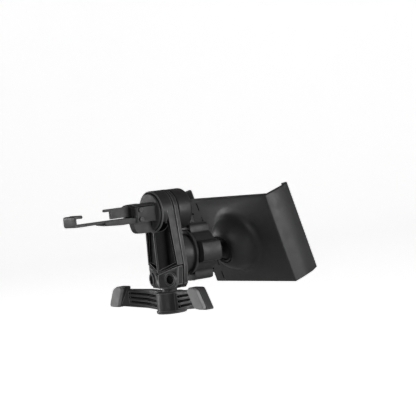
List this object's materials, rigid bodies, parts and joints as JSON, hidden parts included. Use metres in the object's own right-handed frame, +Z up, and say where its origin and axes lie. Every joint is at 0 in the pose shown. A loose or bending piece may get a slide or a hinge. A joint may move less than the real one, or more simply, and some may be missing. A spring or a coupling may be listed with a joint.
{
  "type": "air vent phone holder",
  "caption": "Holder that hooks to an air vent blade, with a footed brace, a ball joint with a lobed lock nut and a clamping cradle with a sliding jaw.",
  "frame": {"origin": "middle of the flat seat on the fixed jaw's web that bears on the vent blade's edge", "axes": "+Z up, +Y towards the vent, +X along the cradle towards its sliding jaw"},
  "size_m": [0.0791, 0.1006, 0.0498],
  "materials": {
    "black_abs": "satin moulded",
    "rubber": "matt",
    "grey_rubber": "matt",
    "steel": "zinc plated"
  },
  "bodies": {
    "clip": {"clip_rotor": "black_abs", "fixed_jaw": "black_abs", "jaw_pin_upper": "steel", "jaw_pin_lower_left": "steel", "jaw_pin_lower_right": "steel", "retaining_ring": "steel"},
    "hook": {"hook": "black_abs"},
    "knob": {"tension_knob": "black_abs", "draw_screw": "steel"},
    "leg": {"leg_housing": "black_abs", "face_plate": "black_abs", "chevron_cover": "black_abs", "cover_screw_left": "steel", "cover_screw_right": "steel", "swivel_collar": "black_abs"},
    "brace": {"brace": "black_abs", "brace_pin": "steel", "foot_pad_left": "grey_rubber", "foot_pad_right": "grey_rubber"},
    "nut": {"lock_nut": "black_abs"},
    "stem": {"ball_stem": "black_abs"},
    "liner": {"socket_liner": "rubber"},
    "cradle": {"cradle_body": "black_abs", "cradle_cover": "black_abs", "cradle_screw_1": "steel", "cradle_screw_2": "steel", "cradle_screw_3": "steel", "cradle_screw_4": "steel", "back_pad": "rubber", "jaw_pad_right": "rubber", "spring_upper": "steel", "spring_lower": "steel"},
    "slider": {"slide_jaw": "black_abs", "jaw_pad_left": "rubber"}
  },
  "joints": [
    {"name": "clip_turn", "type": "hinge", "parent": "clip", "child": "leg", "pos_m": [0, -0.019, -0.0009], "axis": [0, 1, 0], "range_deg": [-90, 90]},
    {"name": "knob_turn", "type": "hinge", "parent": "clip", "child": "knob", "pos_m": [0, -0.019, -0.0009], "axis": [0, 1, 0], "range_deg": [0, 1261]},
    {"name": "hook_slide", "type": "slide", "parent": "clip", "child": "hook", "axis": [0, -1, 0], "range_m": [0, 0.007]},
    {"name": "brace_swivel", "type": "hinge", "parent": "leg", "child": "brace", "pos_m": [0, -0.0243, -0.0337], "axis": [0, 0, 1], "range_deg": [-25, 25]},
    {"name": "lock_nut_turn", "type": "hinge", "parent": "leg", "child": "nut", "pos_m": [0, -0.0349, -0.0191], "axis": [0, 1, 0], "range_deg": [-180, 180]},
    {"name": "stem_swivel", "type": "hinge", "parent": "leg", "child": "stem", "pos_m": [0, -0.0349, -0.0191], "axis": [0, 1, 0], "continuous": true},
    {"name": "ball_pitch", "type": "hinge", "parent": "stem", "child": "liner", "pos_m": [0, -0.0572, -0.0191], "axis": [1, 0, 0], "range_deg": [-5, 39]},
    {"name": "ball_yaw", "type": "hinge", "parent": "liner", "child": "cradle", "pos_m": [0, -0.0572, -0.0191], "axis": [0, 0.2924, 0.9563], "range_deg": [-15, 15]},
    {"name": "jaw_slide", "type": "slide", "parent": "cradle", "child": "slider", "axis": [1, 0, 0], "range_m": [0, 0.013], "stiffness_N_per_m": 150, "springref_m": -0.01}
  ],
  "couplings": [
    {"joint": "knob_turn", "follows": "hook_slide", "rad_per_m": 3141.6}
  ]
}
